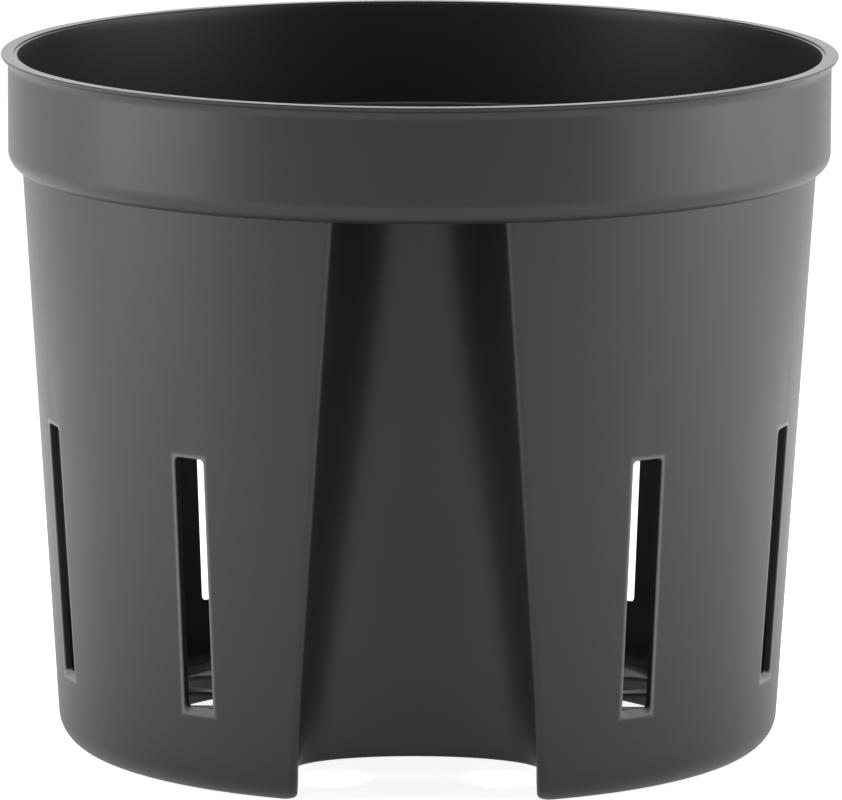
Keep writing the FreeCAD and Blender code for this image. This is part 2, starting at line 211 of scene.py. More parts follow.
class Pot:
    """Radii, heights and plan outlines that follow from the sizes."""

    def __init__(self, sizes):
        self.sizes = sizes
        self.collar_radius = LIP_RADIUS - sizes.lip_overhang
        self.cove_bottom = TOP - sizes.lip_face - sizes.cove_height
        self.lip_seam = self.cove_bottom - sizes.seam_margin
        self.base_radius = self.collar_radius - sizes.collar_overhang - sizes.wall_taper
        self.lean = sizes.wall_taper / CREASE
        self.slant = math.hypot(1, self.lean)
        self.thickness = sizes.wall * self.slant
        self.foot_centre = self.base_radius + self.lean * sizes.foot_round - sizes.foot_round * self.slant
        self.riser_foot = self.foot_centre - sizes.gutter_width
        self.floor_radius = self.riser_foot - sizes.riser_taper
        self.slot_bottom = BARS_BOTTOM - sizes.slot_overlap
        self.slot_top = BARS_TOP + sizes.slot_overlap
        self.pitch = math.pi / (sizes.slots_per_side + 1)
        self.recess_half = RECESS_HIGH.x - sizes.wall
        self.recess_back = sizes.wall - RECESS_HIGH.y

    def outer(self, height):
        """Outer radius of the tapered wall."""
        return self.base_radius + self.lean * height

    def inner(self, height):
        """Inner radius of the tapered wall."""
        return self.outer(height) - self.thickness

    def rounded_radius(self, height, radius):
        """Radius of the foot's rounding at a height, for the outer face or for the one inside it."""
        centre_height = self.sizes.foot_round
        wall_start = centre_height - radius * self.lean / self.slant
        if height >= wall_start:
            return self.outer(height) - (centre_height - radius) * self.slant
        return self.foot_centre + math.sqrt(max(0, radius ** 2 - (centre_height - height) ** 2))

    def recess_plan(self, height, inside):
        """Half width and back of a recess at a height, its fillets' centre line, wall radius and fillet."""
        sizes = self.sizes
        part = (height - FLOOR_UNDER) / (CREASE - FLOOR_UNDER)
        inset = sizes.wall if inside else 0
        half = mix(self.recess_half, sizes.recess_top_half, part) + inset
        back = mix(self.recess_back, sizes.recess_top_back, part) - inset
        radius = self.inner(height) if inside else self.outer(height)
        fillet = sizes.recess_inner_round if inside else sizes.recess_round
        centre = math.sqrt((radius - fillet) ** 2 - (half + fillet) ** 2)
        return half, back, centre, radius, fillet

    def recess_reach(self, height):
        """Azimuth, beside a recess, at which the plain wall starts."""
        reaches = []
        for inside in (False, True):
            half, _, centre, _, fillet = self.recess_plan(height, inside)
            reaches.append(math.atan2(half + fillet, centre))
        return max(reaches) + 2 * self.sizes.seam_margin / self.outer(height)


def mix(first, second, part):
    """Value part of the way from first to second."""
    return first + (second - first) * part


def tidy(height):
    """Height to a tenth of a micrometre, so that rows made in two ways meet exactly."""
    return round(height, TIDY_PLACES)


def steps(first, second, number):
    """Evenly spaced values from first to second, both included."""
    return [mix(first, second, index / number) for index in range(number + 1)]


def sine(degrees):
    """Sine of an angle in degrees."""
    return math.sin(math.radians(degrees))


def cosine(degrees):
    """Cosine of an angle in degrees."""
    return math.cos(math.radians(degrees))


def at(radius, azimuth, height=0.0):
    """Point at a radius and azimuth; azimuth 0 is the front and grows towards the right."""
    return Vector((radius * math.sin(azimuth), -radius * math.cos(azimuth), height))


def plan_arc(radius, start, end, number):
    """Points in plan at a radius, from one azimuth to another in a number of steps."""
    return [tuple(at(radius, azimuth).xy) for azimuth in steps(start, end, number)]


def arc(centre, radius, start, end, number):
    """Points of an arc in a plane, from one angle in degrees to another in a number of steps."""
    return [(centre[0] + radius * cosine(angle), centre[1] + radius * sine(angle))
            for angle in steps(start, end, number)]


def new_object(name, mesh):
    """Object for a mesh, linked into the scene."""
    piece = bpy.data.objects.new(name, mesh)
    bpy.context.scene.collection.objects.link(piece)
    return piece


def write_mesh(work, mesh):
    """Merge doubles, turn the faces outwards, and write the work to a mesh."""
    bmesh.ops.remove_doubles(work, verts=work.verts, dist=SAME_POINT)
    bmesh.ops.recalc_face_normals(work, faces=work.faces)
    work.to_mesh(mesh)
    work.free()
    return mesh


def mesh_from(name, points, faces):
    """Mesh of points and faces."""
    work = bmesh.new()
    corners = [work.verts.new(point) for point in points]
    for face in faces:
        work.faces.new([corners[index] for index in face])
    return write_mesh(work, bpy.data.meshes.new(name))


def finish_piece(piece, nodes):
    """Smooth shading with crisp corners, the plastic, and the piece's place among the bodies."""
    mesh = piece.data
    mesh.shade_smooth()
    mesh.set_sharp_from_angle(angle=math.radians(SHARP_ANGLE))
    mesh.materials.clear()
    mesh.materials.append(bpy.data.materials[PLASTIC])
    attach(piece, "root")
    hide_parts(*nodes)


def evaluated_mesh(item):
    """Plain mesh of what an object's modifiers make."""
    graph = bpy.context.evaluated_depsgraph_get()
    return bpy.data.meshes.new_from_object(item.evaluated_get(graph))


def evaluated_piece(holder, name):
    """Plain mesh object of what a holder's modifiers make; the holder and its modifiers go."""
    mesh = evaluated_mesh(holder)
    old = holder.data
    bpy.data.objects.remove(holder)
    bpy.data.meshes.remove(old)
    work = bmesh.new()
    work.from_mesh(mesh)
    mesh.name = name
    return new_object(name, write_mesh(work, mesh))


def feed(tree, socket, item):
    """Link an output to a socket, or give the socket a plain value; None leaves it as it is."""
    if isinstance(item, bpy.types.NodeSocket):
        tree.links.new(item, socket)
    elif item is not None:
        socket.default_value = item


def add_node(tree, kind, inputs, **settings):
    """Node with its settings made and its named or numbered inputs fed."""
    made = tree.nodes.new(kind)
    for key, setting in settings.items():
        setattr(made, key, setting)
    for key, item in inputs.items():
        feed(tree, made.inputs[key], item)
    return made


class Tree:
    """Short way to lay out a geometry node tree whose inputs have names and values."""

    def __init__(self, name, values):
        self.tree = bpy.data.node_groups.new(name, "GeometryNodeTree")
        face = self.tree.interface
        face.new_socket("Geometry", in_out="INPUT", socket_type="NodeSocketGeometry")
        self.values = {}
        for label, item in values.items():
            kind = {float: "Float", int: "Int"}.get(type(item), "Object")
            socket = face.new_socket(label, in_out="INPUT", socket_type=f"NodeSocket{kind}")
            self.values[socket.identifier] = item
        face.new_socket("Geometry", in_out="OUTPUT", socket_type="NodeSocketGeometry")
        self.given = self.tree.nodes.new("NodeGroupInput").outputs
        self.end = self.tree.nodes.new("NodeGroupOutput")

    def node(self, kind, *values, output=0, **settings):
        """Add a node, feed its inputs in order, and return one of its outputs."""
        made = add_node(self.tree, kind, {}, **settings)
        for socket, item in zip([one for one in made.inputs if one.enabled], values):
            feed(self.tree, socket, item)
        outputs = [one for one in made.outputs if one.enabled]
        return outputs[output] if isinstance(output, int) else made.outputs[output]

    def math(self, operation, *values):
        """Math node."""
        return self.node("ShaderNodeMath", *values, operation=operation)

    def join(self, *shapes):
        """Node that puts shapes together."""
        whole = self.node("GeometryNodeJoinGeometry")
        for shape in shapes:
            self.tree.links.new(shape, whole.node.inputs[0])
        return whole

    def close(self, geometry):
        """Realize instances, set the material and end the tree."""
        real = self.node("GeometryNodeRealizeInstances", geometry)
        dressed = self.node("GeometryNodeSetMaterial", real, None, bpy.data.materials[PLASTIC])
        self.tree.links.new(dressed, self.end.inputs[0])
        return self

    def piece(self, name, mesh=None):
        """Piece that the tree makes of a mesh, or of its inputs alone."""
        holder = new_object(f"{name}_holder", mesh or bpy.data.meshes.new(f"{name}_holder"))
        modifier = holder.modifiers.new("shape", "NODES")
        modifier.node_group = self.tree
        for identifier, item in self.values.items():
            modifier[identifier] = item
        return evaluated_piece(holder, name)


def wrap_tree(pot):
    """Tree that wraps a flat panel round the tapered wall, sinks it softly above each slot, and stores the
    mask of a painted highlight round each slot's mouth and sill.
    """
    sizes = pot.sizes
    tree = Tree("Wrap Round Wall", {
        "Base Radius": pot.base_radius, "Lean": pot.lean, "Pitch": pot.pitch, "Slot Top": pot.slot_top,
        "Slot Bottom": pot.slot_bottom, "Slot Half Width": sizes.slot_width / 2,
        "Slot Rounding": sizes.slot_round, "Slot Sill": sizes.slot_sill, "Wear Width": sizes.slot_highlight,
        "Sink Depth": sizes.sink_depth, "Sink Length": sizes.sink_length, "Sink Width": sizes.sink_width})
    given, calc = tree.given, tree.math
    split = tree.node("ShaderNodeSeparateXYZ", tree.node("GeometryNodeInputPosition")).node
    azimuth, depth, height = split.outputs
    outer = calc("MULTIPLY_ADD", height, given["Lean"], given["Base Radius"])
    half_pitch = calc("MULTIPLY", given["Pitch"], 0.5)
    off_slot = calc("WRAP", azimuth, half_pitch, calc("MULTIPLY", half_pitch, -1.0))
    across = calc("DIVIDE", calc("MULTIPLY", off_slot, outer), given["Sink Width"])
    bell = calc("EXPONENT", calc("MULTIPLY", calc("MULTIPLY", across, across), -1.0))
    above = calc("SUBTRACT", height, given["Slot Top"])
    rise = calc("DIVIDE", above, given["Sink Length"])
    fade_in, fade_out = (tree.node("ShaderNodeMapRange", rise, *numbers, interpolation_type="SMOOTHSTEP")
                         for numbers in (SINK_FADE_IN, SINK_FADE_OUT))
    sink = calc("MULTIPLY", calc("MULTIPLY", bell, fade_in), fade_out)
    radius = calc("SUBTRACT", outer, calc("MULTIPLY_ADD", sink, given["Sink Depth"], depth))
    right = calc("MULTIPLY", radius, calc("SINE", azimuth))
    back = calc("MULTIPLY", radius, calc("COSINE", azimuth))
    place = tree.node("ShaderNodeCombineXYZ", right, calc("MULTIPLY", back, -1.0), height)
    # Mask of the painted highlight: full on each slot's rounded mouth and sill, fading out over the band's
    # width.
    round_size, sill = given["Slot Rounding"], given["Slot Sill"]
    beside = calc("SUBTRACT", calc("MULTIPLY", calc("ABSOLUTE", off_slot), outer),
                  calc("ADD", given["Slot Half Width"], round_size))
    over = calc("SUBTRACT", above, round_size)
    below = calc("SUBTRACT", calc("SUBTRACT", given["Slot Bottom"], sill), height)
    away = calc("MAXIMUM", beside, calc("MAXIMUM", over, below))
    near = tree.node("ShaderNodeMapRange", away, 0.0, given["Wear Width"], 1.0, 0.0)
    past_sill = calc("MULTIPLY", depth, calc("GREATER_THAN", height, given["Slot Bottom"]))
    deep = calc("MAXIMUM", past_sill, calc("SUBTRACT", depth, sill))
    shallow = tree.node("ShaderNodeMapRange", deep, 0.0, round_size, 1.0, 0.0)
    highlit = tree.node("GeometryNodeStoreNamedAttribute", given[0], None, "painted_highlight",
                     calc("MULTIPLY", near, shallow), data_type="FLOAT", domain="POINT")
    return tree.close(tree.node("GeometryNodeSetPosition", highlit, None, place))


def floor_tree(pot, outline):
    """Tree that fills the floor's outline, less a ring of rounded drainage openings, and thickens it."""
    sizes = pot.sizes
    tree = Tree("Drained Floor", {
        "Outline": outline, "Per Side": sizes.drains_per_side,
        "Outer Radius": pot.floor_radius - sizes.drain_margin, "Length": sizes.drain_length,
        "Width": sizes.drain_width, "Thickness": FLOOR_TOP - FLOOR_UNDER})
    given, calc = tree.given, tree.math
    shore = tree.node("GeometryNodeObjectInfo", given["Outline"], output="Geometry")
    steps_per_side = calc("ADD", given["Per Side"], 1)
    places = calc("MULTIPLY", steps_per_side, 2)
    middle = calc("SUBTRACT", given["Outer Radius"], calc("MULTIPLY", given["Length"], 0.5))
    opening = tree.node("GeometryNodeCurvePrimitiveQuadrilateral", given["Width"], given["Length"])
    rounding = calc("MULTIPLY", given["Width"], NEARLY_HALF)
    rounded = tree.node("GeometryNodeFilletCurve", opening, None, rounding, mode="POLY")
    rounded.node.inputs["Count"].default_value = DRAIN_CORNER_STEPS
    moved = tree.node("GeometryNodeTransform", rounded)
    shift = tree.node("ShaderNodeCombineXYZ", 0.0, calc("MULTIPLY", middle, -1.0), 0.0)
    tree.tree.links.new(shift, moved.node.inputs["Translation"])
    line = tree.node("GeometryNodeMeshLine", places)
    line.node.inputs["Offset"].default_value = (0, 0, 0)
    index = tree.node("GeometryNodeInputIndex")
    turn = calc("MULTIPLY", index, calc("DIVIDE", math.pi, steps_per_side))
    kept = calc("GREATER_THAN", calc("MODULO", index, steps_per_side), 0.5)
    ring = tree.node("GeometryNodeInstanceOnPoints", line)
    for label, item in (("Selection", kept), ("Instance", moved),
                        ("Rotation", tree.node("ShaderNodeCombineXYZ", 0.0, 0.0, turn))):
        feed(tree.tree, ring.node.inputs[label], item)
    outlines = tree.join(tree.node("GeometryNodeRealizeInstances", ring), shore)
    sheet = tree.node("GeometryNodeFillCurve", outlines, mode="NGONS")
    lift = tree.node("ShaderNodeCombineXYZ", 0.0, 0.0, given["Thickness"])
    raised = tree.node("GeometryNodeExtrudeMesh", sheet, None, lift, 1.0, False)
    solid = tree.join(raised, tree.node("GeometryNodeFlipFaces", sheet))
    return tree.close(tree.node("GeometryNodeMergeByDistance", solid, None, SAME_POINT))


def profile_curve(name, points):
    """Closed flat curve through points, as an input for a tree."""
    curve = bpy.data.curves.new(name, "CURVE")
    curve.dimensions = "2D"
    spline = curve.splines.new("POLY")
    spline.points.add(len(points) - 1)
    for target, (across, up) in zip(spline.points, points):
        target.co = (across, up, 0, 1)
    spline.use_cyclic_u = True
    return new_object(name, curve)


def turned_ring(name, profile, segments):
    """Ring that a profile of (radius, height) points sweeps round the axis."""
    radius = profile[0][0]
    swept = profile_curve(f"{name}_profile", [(across - radius, -up) for across, up in profile])
    tree = Tree("Turned Ring", {"Profile": swept, "Radius": radius, "Segments": segments})
    circle = tree.node("GeometryNodeCurvePrimitiveCircle", tree.given["Segments"], tree.given["Radius"])
    section = tree.node("GeometryNodeObjectInfo", tree.given["Profile"], output="Geometry")
    piece = tree.close(tree.node("GeometryNodeCurveToMesh", circle, section)).piece(name)
    bpy.data.objects.remove(swept)
    return piece


def lip_profile(pot):
    """Section of the lip: straight start, cove, rounded edge, flat rim and the step inside it."""
    sizes = pot.sizes
    edge, step, bend = sizes.rim_edge, sizes.rim_step, sizes.lip_round
    inside = pot.collar_radius - sizes.collar_wall
    rim_inside = LIP_RADIUS - sizes.rim_width
    step_inside = rim_inside - sizes.step_width
    stretch = sizes.cove_height / sizes.lip_overhang
    cove = arc((LIP_RADIUS, 0), sizes.lip_overhang, 180, COVE_END, COVE_STEPS)
    points = [(pot.collar_radius, pot.lip_seam)]
    points += [(across, pot.cove_bottom + stretch * up) for across, up in cove]
    points += arc((LIP_RADIUS - bend, TOP - bend), bend, LIP_START, 90, COVE_STEPS)
    points += [(LIP_RADIUS - bend - edge, TOP), (rim_inside + EDGE_RUN * edge, TOP)]
    points += arc((rim_inside + edge, TOP - edge), edge, 90, 180, ROUND_STEPS)
    points += [(rim_inside, TOP - step)]
    points += arc((step_inside + edge / 2, TOP - step - edge / 2), edge / 2, 90, 180, SMALL_STEPS)
    points += [(inside, TOP - sizes.rim_shoulder + edge), (inside, pot.lip_seam)]
    return points


def collar_profile(pot):
    """Section of the collar: upright face, rounded lower edge, and the ledge inside it."""
    sizes = pot.sizes
    inside = pot.collar_radius - sizes.collar_wall
    drop = math.sqrt(sizes.collar_round ** 2 - (sizes.collar_round - sizes.collar_overhang) ** 2)
    round_start = CREASE + drop
    last_angle = -math.degrees(math.asin(drop / sizes.collar_round))
    ledge, small = sizes.ledge_round, sizes.ledge_round / 2
    ledge_inside = pot.inner(CEILING_TOP)
    points = [(pot.collar_radius, height)
              for height in steps(pot.lip_seam, round_start + sizes.seam_margin, COLLAR_ROWS)]
    bend_centre = (pot.collar_radius - sizes.collar_round, round_start)
    points += arc(bend_centre, sizes.collar_round, 0, last_angle, BEND_STEPS)
    points += [(pot.inner(CREASE), CREASE)]
    points += arc((ledge_inside + small, CEILING_TOP - small), small, 180, 90, SMALL_STEPS)
    points += arc((inside - ledge, CEILING_TOP + ledge), ledge, -90, 0, ROUND_STEPS)
    points += [(inside, height)
               for height in steps(CEILING_TOP + 2 * ledge, pot.lip_seam, LEDGE_ROWS)]
    return points


def mouth_rings(sizes):
    """Pairs of distance from a slot's edge and depth, over the rounding of its mouth."""
    return [(sizes.slot_round * (1 - sine(angle)), sizes.slot_round * (1 - cosine(angle)))
            for angle in steps(90, 0, MOUTH_STEPS)]


def sill_rings(sizes):
    """The same pairs over the straight slope at a slot's lower end."""
    return [(distance, sizes.slot_sill - distance) for distance in steps(0, sizes.slot_sill, MOUTH_STEPS)]


def slot_side(sizes):
    """Pairs of distance from a slot's middle and depth, from its edge out to the plain wall."""
    half, last = sizes.slot_width / 2, sizes.slot_width / 2 + sizes.slot_round
    pairs = [(half + distance, depth) for distance, depth in mouth_rings(sizes)]
    return pairs + [(mix(last, sizes.slot_margin, part), 0.0) for part in RING_SHARES]


def slot_end_rings(sizes, edge, seam, limit):
    """Rings of (across, height, depth) from the edge of a slot's end out to a rectangle about it.

    Each place on the edge holds its own position, its way out and its target on the rectangle.
    """
    way = 1 if limit > edge else -1
    half, corner, margin = sizes.slot_width / 2, sizes.slot_corner, sizes.slot_margin
    flat, bend = half - corner, edge - way * corner
    places = [(half, height, 1, 0, margin, height) for height in steps(seam, bend, 2)]
    targets = ((margin, mix(bend, limit, 0.5)), (margin, limit),
               (mix(margin, flat, 0.5), limit), (flat, limit))
    for target, angle in zip(targets, steps(0, 90, len(targets))[1:]):
        aside, up = cosine(angle), way * sine(angle)
        places.append((flat + corner * aside, bend + corner * up, aside, up, *target))
    places += [(across, edge, 0, way, across, limit) for across in steps(flat, 0, END_STEPS)[1:]]
    places += [(-across, height, -aside, up, -target, target_height)
               for across, height, aside, up, target, target_height in reversed(places[:-1])]
    end_rings = mouth_rings(sizes) if way > 0 else sill_rings(sizes)
    stages = [(beside, beyond, 0) for beside, beyond in zip(mouth_rings(sizes), end_rings)]
    stages += [((sizes.slot_round, 0.0), (end_rings[-1][0], 0.0), part) for part in RING_SHARES]
    return [[(mix(across + out * aside, target, part),
              tidy(mix(height + end_out * up, target_height, part)),
              depth * aside * aside + end_depth * up * up)
             for across, height, aside, up, target, target_height in places[::-way]]
            for (out, depth), (end_out, end_depth), part in stages]


class Panel:
    """Flat sheet of quads in azimuth and height that later gets its thickness and its bend."""

    def __init__(self, pot, side):
        self.pot, self.side = pot, side
        self.index, self.corners, self.quads = {}, [], []

    def corner(self, azimuth, height, depth):
        """Index of the corner at a place, made once."""
        key = (round(azimuth, AZIMUTH_PLACES), round(height, HEIGHT_PLACES))
        if key not in self.index:
            self.index[key] = len(self.corners)
            self.corners.append((azimuth, depth, height))
        return self.index[key]

    def add_rows(self, rows):
        """Quads between successive rows of (azimuth, height, depth)."""
        for lower, upper in zip(rows, rows[1:]):
            ids = [[self.corner(*point) for point in row] for row in (lower, upper)]
            for a, b, c, d in zip(ids[0], ids[0][1:], ids[1][1:], ids[1]):
                self.quads.append((a, b, c, d))

    def slot_azimuth(self, number, across, height):
        """Azimuth of a point at a distance from the middle of a slot."""
        return number * self.pot.pitch + across / self.pot.outer(height)

    def run_between(self, number, height, parts):
        """Row of plain wall from one slot's ground to the next, or to the ground by a recess."""
        margin = self.pot.sizes.slot_margin
        first = self.pot.recess_reach(height)
        start = first if number == 0 else self.slot_azimuth(number, margin, height)
        last = number == self.pot.sizes.slots_per_side
        end = math.pi - first if last else self.slot_azimuth(number + 1, -margin, height)
        return [(azimuth, height, 0.0) for azimuth in steps(start, end, parts)]

    def solid(self):
        """Closed flat mesh: both faces and the edges between them, mirrored for the left side."""
        total = len(self.corners)
        points = [(self.side * azimuth, depth, height) for azimuth, depth, height in self.corners]
        points += [(across, self.pot.thickness, height) for across, depth, height in points]
        faces = list(self.quads) + [tuple(total + index for index in reversed(quad)) for quad in self.quads]
        edges = [pair for quad in self.quads for pair in zip(quad, quad[1:] + quad[:1])]
        known = set(edges)
        faces += [(b, a, total + a, total + b) for a, b in edges if (b, a) not in known]
        return mesh_from("panel", points, faces)


def upper_rows(pot, limit):
    """Heights of the plain rows above the slots, close together over the soft hollows."""
    fine = pot.slot_top + pot.sizes.sink_length
    return steps(limit, fine, HOLLOW_ROWS) + steps(fine, CREASE, HIGH_ROWS)[1:]


def wall_panel(pot, side, seam, edge, limit, rows):
    """Wall beyond one end of the slots: ground about each slot's end, and plain wall over the rows."""
    panel = Panel(pot, side)
    sizes = pot.sizes
    limit, rows = tidy(limit), [tidy(height) for height in rows]
    rings = slot_end_rings(sizes, edge, seam, limit)
    bend_rows = {height for across, height, _ in rings[-1] if abs(across - sizes.slot_margin) < SAME_POINT}
    last_row = [across for across, height, _ in rings[-1] if height == limit]
    for number in range(1, sizes.slots_per_side + 1):
        for ground in (rings, [[(across, height, 0.0) for across in last_row] for height in rows]):
            panel.add_rows([[(panel.slot_azimuth(number, across, height), height, depth)
                             for across, height, depth in row] for row in ground])
    for number in range(sizes.slots_per_side + 1):
        panel.add_rows([panel.run_between(number, height, PANEL_PARTS)
                        for height in sorted(bend_rows | set(rows))])
    return panel.solid()


def bar_panel(pot, side, number):
    """Bar of wall between two slots, or between a slot and a recess."""
    panel = Panel(pot, side)
    sides = slot_side(pot.sizes)[:-1]
    rows = []
    for height in steps(BARS_BOTTOM, BARS_TOP, BAR_ROWS):
        row = panel.run_between(number, height, PANEL_PARTS)
        if number > 0:
            row = [(panel.slot_azimuth(number, out, height), height, depth) for out, depth in sides] + row
        if number < pot.sizes.slots_per_side:
            row += [(panel.slot_azimuth(number + 1, -out, height), height, depth)
                    for out, depth in reversed(sides)]
        rows.append(row)
    panel.add_rows(rows)
    return panel.solid()


def half_channel(pot, height, inside, drop):
    """Right half of a recess in plan: back, side, rounded edge and a little plain wall."""
    half, back, centre, radius, fillet = pot.recess_plan(height, inside)
    points = []
    for angle in steps(0, 90, BACK_STEPS):
        inset = drop * min(1, (90 - angle) / ROUND_FADE)
        points.append(((half + inset) * sine(angle), -(centre - (centre - back + inset) * cosine(angle))))
    reach = math.atan2(half + fillet, centre)
    points += arc((half + fillet, -centre), fillet, -180, math.degrees(reach) - 90, FILLET_STEPS)[1:]
    return points + plan_arc(radius, reach, pot.recess_reach(height), PLAIN_STEPS)[1:]


def channel(pot, height, inside, facing, drop=0.0):
    """Whole recess in plan from left to right, as points at its height."""
    right = half_channel(pot, height, inside, drop)
    whole = [(-x, y) for x, y in reversed(right[1:])] + right
    return [Vector((x, -facing * y, height)) for x, y in whole]


def loft(loops):
    """Points and faces of a tube through closed loops of equal length, with its two ends open."""
    size = len(loops[0])
    points = [point for loop in loops for point in loop]
    faces = []
    for row in range(len(loops) - 1):
        for item in range(size):
            following = (item + 1) % size
            low, high = row * size, (row + 1) * size
            faces.append((low + item, low + following, high + following, high + item))
    return points, faces


def band(loops):
    """Mesh of a closed band through loops that run along one face and back along the other."""
    points, faces = loft(loops)
    size = len(loops[0])
    for first in (0, len(points) - size):
        last = first + size - 1
        faces += [(first + i, first + i + 1, last - 1 - i, last - i) for i in range(size // 2 - 1)]
    return mesh_from("band", points, faces)


def recess_wall(pot, facing):
    """Curved wall of a recess, with its rounded lower edge over the foot's notch."""
    lower = FLOOR_TOP - FLOOR_UNDER
    inner_start = mix(FLOOR_UNDER, FLOOR_TOP, 0.5)
    rows = [(FLOOR_UNDER + lower * (1 - cosine(angle)), lower * (1 - sine(angle)),
             mix(inner_start, FLOOR_TOP, angle / 90)) for angle in steps(0, 90, ROUND_STEPS)]
    rows += [(height, 0.0, height) for height in steps(FLOOR_TOP, CREASE, RECESS_ROWS)[1:]]
    return band([channel(pot, height, False, facing, drop) + channel(pot, inner_height, True, facing)[::-1]
                 for height, drop, inner_height in rows])


def recess_ceiling(pot, facing):
    """Level ceiling of a recess, a shelf inside the pot, out to the wall's inner face."""
    edge = pot.sizes.shelf_round
    rows = [(CREASE, 0.0)] + [(CEILING_TOP - edge * (1 - sine(angle)), edge * (1 - cosine(angle)))
                              for angle in steps(0, 90, ROUND_STEPS)]
    loops = []
    for height, setback in rows:
        inner = pot.inner(height)
        outside = Vector((0, facing * pot.sizes.recess_top_back * 2, height))
        shore = [point + (outside - point).normalized() * setback
                 for point in channel(pot, height, True, facing)[PLAIN_STEPS:-PLAIN_STEPS]]
        end = math.atan2(shore[-1].x, facing * shore[-1].y)
        wall = [Vector((inner * math.sin(azimuth), facing * inner * math.cos(azimuth), height))
                for azimuth in steps(end, -end, len(shore) - 1)]
        loops.append(shore + wall)
    return band(loops)


def joined(name, meshes):
    """One mesh of several closed ones, which stay apart where they touch."""
    work = bmesh.new()
    for mesh in meshes:
        work.from_mesh(mesh)
        bpy.data.meshes.remove(mesh)
    whole = bpy.data.meshes.new(name)
    work.to_mesh(whole)
    work.free()
    return whole


def foot_loop(height, outer, inner, end, corner, inner_corner):
    """Closed plan of the right foot at a height: outer arc, end walls and inner arc, corners rounded."""
    outer_y = math.sqrt((outer - corner) ** 2 - (end + corner) ** 2)
    inner_y = math.sqrt((inner + inner_corner) ** 2 - (end + inner_corner) ** 2)
    reach = math.atan2(end + corner, outer_y)
    inner_reach = math.atan2(end + inner_corner, inner_y)
    inner_centre = (end + inner_corner, -inner_y)
    quarter = arc((end + corner, -outer_y), corner, -180, math.degrees(reach) - 90, CORNER_STEPS)
    inner_quarter = arc(inner_centre, inner_corner, math.degrees(inner_reach) + 90, 180, ROUND_STEPS)
    spans = ((outer, reach, math.pi - reach), (inner, math.pi - inner_reach, inner_reach))
    outer_arc, inner_arc = (plan_arc(radius, first, last, FOOT_STEPS)[1:-1]
                            for radius, first, last in spans)
    plan = quarter + outer_arc + [(x, -y) for x, y in reversed(quarter)]
    plan += [(x, -y) for x, y in reversed(inner_quarter)] + inner_arc + inner_quarter
    return [Vector((x, y, height)) for x, y in plan]


def quarter_drop(height, radius):
    """How far a rounded lower edge is set back at a height above its lowest line."""
    if height >= radius:
        return 0.0
    return radius - math.sqrt(radius ** 2 - (radius - height) ** 2)


def foot_shell(pot, base, end_round, corner, number):
    """Loops down the right foot's outside, or down its gutter a wall higher, and in on the flat bottom."""
    sizes = pot.sizes
    radius, end, small = sizes.foot_round - base, pot.recess_half + base, sizes.foot_corner
    inside = base - sizes.wall
    heights = [FLOOR_UNDER] + [base + radius * (1 - sine(angle))
                               for angle in steps(FOOT_START, 90, number)]
    loops = []
    for height in heights:
        lift = height - base
        riser = mix(pot.riser_foot, pot.floor_radius, lift / (FLOOR_TOP - base)) + inside
        loops.append(foot_loop(height, pot.rounded_radius(height, radius),
                               riser + quarter_drop(lift, small), end + quarter_drop(lift, end_round),
                               corner, small))
    loops.append(foot_loop(base, pot.foot_centre - small, pot.riser_foot + inside + 2 * small,
                           end + end_round + small, corner, small))
    return loops


def foot_mesh(pot, name, side):
    """Foot of one side: outside, gutter, the rim between them and the two flat ends."""
    sizes = pot.sizes
    outside = foot_shell(pot, 0.0, sizes.foot_end_round, sizes.recess_round, OUTSIDE_STEPS)
    gutter = foot_shell(pot, sizes.wall, sizes.foot_corner, sizes.recess_inner_round, GUTTER_STEPS)
    points, faces = loft(outside[::-1] + gutter)
    size = len(gutter[0])
    faces += [tuple(range(size)), tuple(range(len(points) - size, len(points)))]
    return mesh_from(name, [Vector((side * point.x, point.y, point.z)) for point in points], faces)


def floor_outline(pot):
    """Outline of the raised floor: its round sides, and its reach out to both recesses."""
    half, _, centre, _, _ = pot.recess_plan(FLOOR_UNDER, True)
    beside = FILLET_STEPS + PLAIN_STEPS
    shore = [tuple(point.xy) for point in channel(pot, FLOOR_UNDER, False, -1, FLOOR_TOP - FLOOR_UNDER)]
    shore = shore[beside:-beside]
    start = math.atan2(half, math.sqrt(pot.floor_radius ** 2 - half ** 2))
    right = plan_arc(pot.floor_radius, start, math.pi - start, FLOOR_STEPS)
    plan = shore + [(half, -centre)] + right + [(half, centre)] + [(x, -y) for x, y in reversed(shore)]
    return plan + [(-half, centre)] + [(-x, y) for x, y in reversed(right)] + [(-half, -centre)]


def drained_floor(pot):
    """Raised floor with its drainage openings."""
    outline = profile_curve("floor_outline", floor_outline(pot))
    piece = floor_tree(pot, outline).piece("floor_plate_piece")
    bpy.data.objects.remove(outline)
    piece.data.transform(Matrix.Translation((0, 0, FLOOR_UNDER)))
    round_floor_edges(pot, piece)
    return piece


def round_floor_edges(pot, piece):
    """Round the edges of the drainage openings and the floor's upper edge."""
    sizes = pot.sizes
    mesh = piece.data
    near = pot.floor_radius - sizes.drain_margin / 2
    middle = mix(FLOOR_UNDER, FLOOR_TOP, 0.5)
    weights = mesh.attributes.new("bevel_weight_edge", "FLOAT", "EDGE")
    for edge in mesh.edges:
        ends = [mesh.vertices[index].co for index in edge.vertices]
        level = abs(ends[0].z - ends[1].z) < sizes.drain_edge
        drain = max(end.xy.length for end in ends) < near and abs(ends[0].y) < pot.recess_back - sizes.wall
        round_side = all(abs(end.xy.length - pot.floor_radius) < sizes.drain_edge for end in ends)
        upper = ends[0].z > middle
        if level and (drain or (round_side and upper)):
            weights.data[edge.index].value = 1.0
    bevel = piece.modifiers.new("edges", "BEVEL")
    bevel.limit_method = "WEIGHT"
    bevel.width = sizes.drain_edge
    bevel.segments = 2
    rounded = evaluated_mesh(piece)
    piece.modifiers.clear()
    piece.data = rounded
    bpy.data.meshes.remove(mesh)


def sizes_now():
    """Pot worked out from the scene's sizes."""
    return Pot(bpy.context.scene.pot_sizes)


